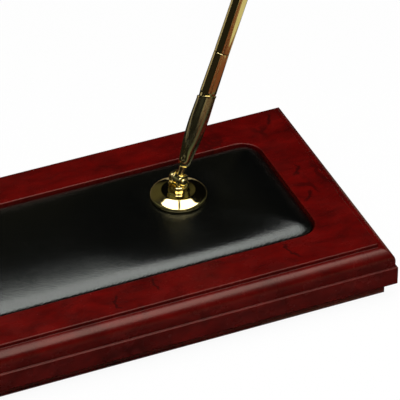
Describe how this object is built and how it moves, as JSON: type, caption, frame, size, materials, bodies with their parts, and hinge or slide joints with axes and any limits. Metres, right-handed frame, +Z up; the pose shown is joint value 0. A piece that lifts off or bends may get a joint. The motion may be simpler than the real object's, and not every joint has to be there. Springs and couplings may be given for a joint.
{
  "type": "double pen stand",
  "caption": "Desk stand with a moulded wooden base, a padded black leather panel and a gold pen in a swivelling funnel holder at each end.",
  "frame": {"origin": "centre of the stand's underside, on the surface that it rests on", "axes": "+X along the length to the right, +Y to the back, +Z up"},
  "size_m": [0.3556, 0.1524, 0.1785],
  "materials": {
    "red_brown_wood": "lacquered, glossy, dark red-brown with darker figure",
    "black_leather": "fine-grained black leather with a soft gloss",
    "polished_gold": "mirror-polished gold plate",
    "steel": "plain bright steel",
    "felt": "dark felt",
    "foam": "thin upholstery foam",
    "fibreboard": "raw fibreboard",
    "black_plastic": "moulded black plastic",
    "refill_metal": "plain brass refill tube"
  },
  "bodies": {
    "base": {"base_board": "red_brown_wood", "plinth": "red_brown_wood", "plinth_screws": "steel", "felt_pad": "felt", "panel_backing": "fibreboard", "panel_foam": "foam", "panel_leather": "black_leather", "right_holder_dome": "polished_gold", "right_holder_stem": "steel", "right_holder_washer": "steel", "right_holder_nut": "steel", "left_holder_dome": "polished_gold", "left_holder_stem": "steel", "left_holder_washer": "steel", "left_holder_nut": "steel"},
    "right_swivel": {"right_swivel_fork": "polished_gold", "right_swivel_screw": "steel", "right_swivel_washer": "steel", "right_swivel_spring": "steel", "right_tilt_screw": "polished_gold", "right_tilt_nut": "polished_gold", "right_tilt_washers": "steel"},
    "right_funnel": {"right_funnel_knuckle": "polished_gold", "right_funnel": "polished_gold", "right_funnel_rim": "polished_gold", "right_funnel_liner": "black_plastic"},
    "right_pen": {"right_pen_lower_barrel": "polished_gold", "right_pen_connector": "steel"},
    "right_pen_top": {"right_pen_upper_barrel": "polished_gold", "right_pen_end_cap": "polished_gold", "right_pen_cam_tube": "black_plastic"},
    "right_refill": {"right_pen_refill": "refill_metal", "right_pen_refill_carrier": "black_plastic"},
    "left_swivel": {"left_swivel_fork": "polished_gold", "left_swivel_screw": "steel", "left_swivel_washer": "steel", "left_swivel_spring": "steel", "left_tilt_screw": "polished_gold", "left_tilt_nut": "polished_gold", "left_tilt_washers": "steel"},
    "left_funnel": {"left_funnel_knuckle": "polished_gold", "left_funnel": "polished_gold", "left_funnel_rim": "polished_gold", "left_funnel_liner": "black_plastic"},
    "left_pen": {"left_pen_lower_barrel": "polished_gold", "left_pen_connector": "steel"},
    "left_pen_top": {"left_pen_upper_barrel": "polished_gold", "left_pen_end_cap": "polished_gold", "left_pen_cam_tube": "black_plastic"},
    "left_refill": {"left_pen_refill": "refill_metal", "left_pen_refill_carrier": "black_plastic"}
  },
  "joints": [
    {"name": "right_swivel_turn", "type": "hinge", "parent": "base", "child": "right_swivel", "pos_m": [0.0871, 0.0111, 0.04525], "axis": [0, 0, 1], "continuous": true},
    {"name": "right_tilt", "type": "hinge", "parent": "right_swivel", "child": "right_funnel", "pos_m": [0.0871, 0.0111, 0.04525], "axis": [-0.3746, 0.9272, 0], "range_deg": [-101.2, 48.8]},
    {"name": "right_pen_lift", "type": "slide", "parent": "right_funnel", "child": "right_pen", "axis": [0.4094, 0.1654, 0.8973], "range_m": [0, 0.04]},
    {"name": "right_pen_twist", "type": "hinge", "parent": "right_pen", "child": "right_pen_top", "pos_m": [0.0871, 0.0111, 0.04525], "axis": [0.4094, 0.1654, 0.8973], "range_deg": [0, 170]},
    {"name": "right_refill_feed", "type": "slide", "parent": "right_pen", "child": "right_refill", "axis": [-0.4094, -0.1654, -0.8973], "range_m": [0, 0.002]},
    {"name": "left_swivel_turn", "type": "hinge", "parent": "base", "child": "left_swivel", "pos_m": [-0.0871, 0.0111, 0.04525], "axis": [0, 0, 1], "continuous": true},
    {"name": "left_tilt", "type": "hinge", "parent": "left_swivel", "child": "left_funnel", "pos_m": [-0.0871, 0.0111, 0.04525], "axis": [0.3746, 0.9272, 0], "range_deg": [-48.8, 101.2]},
    {"name": "left_pen_lift", "type": "slide", "parent": "left_funnel", "child": "left_pen", "axis": [-0.4094, 0.1654, 0.8973], "range_m": [0, 0.04]},
    {"name": "left_pen_twist", "type": "hinge", "parent": "left_pen", "child": "left_pen_top", "pos_m": [-0.0871, 0.0111, 0.04525], "axis": [-0.4094, 0.1654, 0.8973], "range_deg": [0, 170]},
    {"name": "left_refill_feed", "type": "slide", "parent": "left_pen", "child": "left_refill", "axis": [0.4094, -0.1654, -0.8973], "range_m": [0, 0.002]}
  ],
  "couplings": [
    {"joint": "right_pen_twist", "follows": "right_refill_feed", "rad_per_m": 1483.5},
    {"joint": "left_pen_twist", "follows": "left_refill_feed", "rad_per_m": 1483.5}
  ]
}
